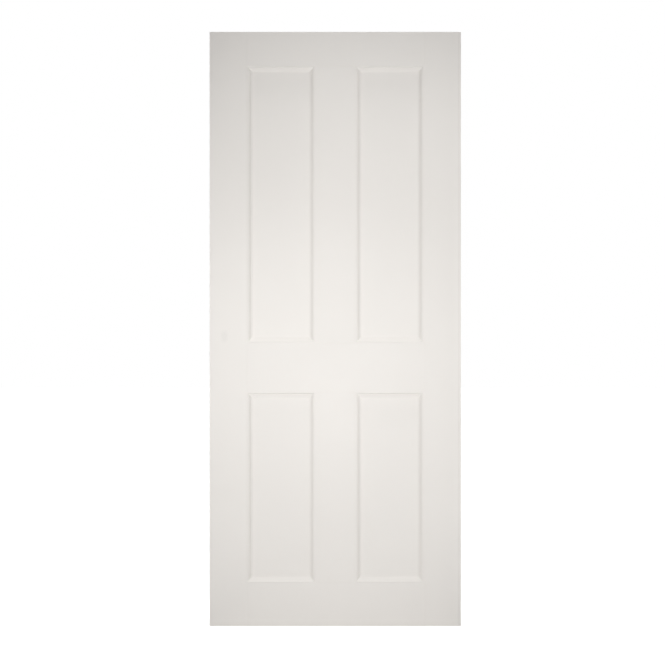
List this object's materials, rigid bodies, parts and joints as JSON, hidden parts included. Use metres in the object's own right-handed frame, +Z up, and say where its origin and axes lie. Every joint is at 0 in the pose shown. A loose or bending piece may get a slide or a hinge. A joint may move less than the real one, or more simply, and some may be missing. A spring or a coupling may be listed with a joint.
{
  "type": "panelled fire door leaf",
  "caption": "White primed internal fire door leaf with flat panels in moulded frames, a solid timber core and square edges, ready to be trimmed, hung and painted.",
  "frame": {"origin": "middle of the leaf's foot, on the surface that it stands on", "axes": "+X across the leaf towards its right edge seen from the front, +Y through it towards its back, +Z up"},
  "size_m": [0.838, 0.044, 1.981],
  "materials": {
    "primed_skin": "white primer, sprayed smooth on fibreboard",
    "primed_timber": "white primer over planed timber, faint grain",
    "primed_panel": "white primer, sprayed smooth on fibreboard",
    "core_timber": "glued softwood strips, planed",
    "fire_resistant_board": "dense mineral-filled board, sanded",
    "intumescent_strip": "graphite strip, matt",
    "dowel_beech": "fluted beech, bare"
  },
  "bodies": {
    "root": {"bottom_rail_back_skin": "primed_skin", "bottom_rail_core": "core_timber", "bottom_rail_dowels": "dowel_beech", "bottom_rail_front_skin": "primed_skin", "bottom_rail_moulding": "primed_timber", "left_stile_back_skin": "primed_skin", "left_stile_core": "core_timber", "left_stile_front_skin": "primed_skin", "left_stile_lipping": "primed_timber", "left_stile_moulding": "primed_timber", "lock_rail_back_skin": "primed_skin", "lock_rail_core": "core_timber", "lock_rail_dowels": "dowel_beech", "lock_rail_front_skin": "primed_skin", "lock_rail_lower_moulding": "primed_timber", "lock_rail_upper_moulding": "primed_timber", "lower_left_panel_back_face": "primed_panel", "lower_left_panel_fire_core": "fire_resistant_board", "lower_left_panel_front_face": "primed_panel", "lower_left_panel_seal": "intumescent_strip", "lower_muntin_back_skin": "primed_skin", "lower_muntin_core": "core_timber", "lower_muntin_dowels": "dowel_beech", "lower_muntin_front_skin": "primed_skin", "lower_muntin_left_moulding": "primed_timber", "lower_muntin_right_moulding": "primed_timber", "lower_right_panel_back_face": "primed_panel", "lower_right_panel_fire_core": "fire_resistant_board", "lower_right_panel_front_face": "primed_panel", "lower_right_panel_seal": "intumescent_strip", "right_stile_back_skin": "primed_skin", "right_stile_core": "core_timber", "right_stile_front_skin": "primed_skin", "right_stile_lipping": "primed_timber", "right_stile_moulding": "primed_timber", "top_rail_back_skin": "primed_skin", "top_rail_core": "core_timber", "top_rail_dowels": "dowel_beech", "top_rail_front_skin": "primed_skin", "top_rail_moulding": "primed_timber", "upper_left_panel_back_face": "primed_panel", "upper_left_panel_fire_core": "fire_resistant_board", "upper_left_panel_front_face": "primed_panel", "upper_left_panel_seal": "intumescent_strip", "upper_muntin_back_skin": "primed_skin", "upper_muntin_core": "core_timber", "upper_muntin_dowels": "dowel_beech", "upper_muntin_front_skin": "primed_skin", "upper_muntin_left_moulding": "primed_timber", "upper_muntin_right_moulding": "primed_timber", "upper_right_panel_back_face": "primed_panel", "upper_right_panel_fire_core": "fire_resistant_board", "upper_right_panel_front_face": "primed_panel", "upper_right_panel_seal": "intumescent_strip"}
  },
  "joints": []
}
